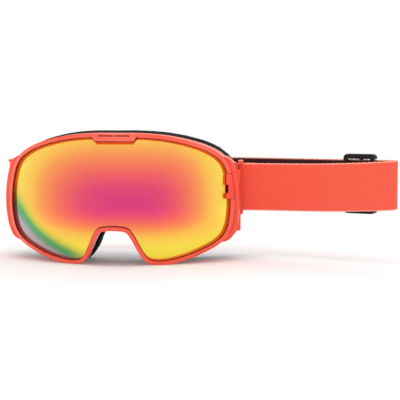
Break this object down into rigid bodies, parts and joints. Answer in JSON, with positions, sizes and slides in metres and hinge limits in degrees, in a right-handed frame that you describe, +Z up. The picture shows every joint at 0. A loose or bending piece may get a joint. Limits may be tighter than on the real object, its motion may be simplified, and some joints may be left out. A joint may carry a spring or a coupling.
{
  "type": "ski goggles",
  "caption": "Ski goggles with a spherical mirrored double lens in a slim rim, a release lever, layered face foam, swinging outriggers and a wide adjustable elastic strap.",
  "frame": {"origin": "middle of the face opening, on the plane of symmetry, level with the lens's foremost point", "axes": "+X towards the side where the strap is held out, +Y towards the wearer's face, +Z up"},
  "size_m": [0.3129, 0.1052, 0.1026],
  "materials": {
    "coral_shell": "satin moulded",
    "mirror_lens": "mirror coated",
    "clear_lens": "clear",
    "black_frame": "matt",
    "vent_foam": "open-cell foam",
    "face_foam": "foam",
    "fleece": "brushed fleece",
    "steel": "bright",
    "webbing": "woven elastic",
    "black_plastic": "moulded",
    "silicone": "smooth"
  },
  "bodies": {
    "frame": {"outer_frame": "coral_shell", "brow_trim": "coral_shell", "lever_pin": "steel", "lever_spring": "steel", "inner_frame": "black_frame", "brow_vent_foam": "vent_foam", "cheek_vent_foam_left": "vent_foam", "cheek_vent_foam_right": "vent_foam", "face_foam_base": "face_foam", "face_foam_middle": "face_foam", "face_fleece": "fleece", "outrigger_pin_left": "steel", "outrigger_pin_right": "steel", "strap_band": "webbing", "strap_grip_upper": "silicone", "strap_grip_lower": "silicone"},
    "lens": {"outer_lens": "mirror_lens", "lens_spacer": "vent_foam", "inner_lens": "clear_lens"},
    "lever": {"release_lever": "coral_shell"},
    "left_outrigger": {"outrigger_left": "coral_shell", "strap_end_left": "webbing"},
    "right_outrigger": {"outrigger_right": "coral_shell", "strap_end_right": "webbing"},
    "slider": {"strap_slider": "black_plastic"}
  },
  "joints": [
    {"name": "lens_removal", "type": "slide", "parent": "frame", "child": "lens", "axis": [0, -1, 0], "range_m": [0, 0.03]},
    {"name": "lever_press", "type": "hinge", "parent": "frame", "child": "lever", "pos_m": [0.0893, -0.0062, 0.0102], "axis": [0, 0, 1], "range_deg": [0, 12], "stiffness_Nm_per_rad": 0.02},
    {"name": "left_outrigger_swing", "type": "hinge", "parent": "frame", "child": "left_outrigger", "pos_m": [-0.0919, 0.0055, 0], "axis": [0, 0, 1], "range_deg": [-8, 8]},
    {"name": "right_outrigger_swing", "type": "hinge", "parent": "frame", "child": "right_outrigger", "pos_m": [0.0919, 0.0055, 0], "axis": [0, 0, 1], "range_deg": [0, 8]},
    {"name": "strap_adjust", "type": "slide", "parent": "frame", "child": "slider", "axis": [-0.8849, 0.4655, -0.0149], "range_m": [0, 0.04]}
  ]
}
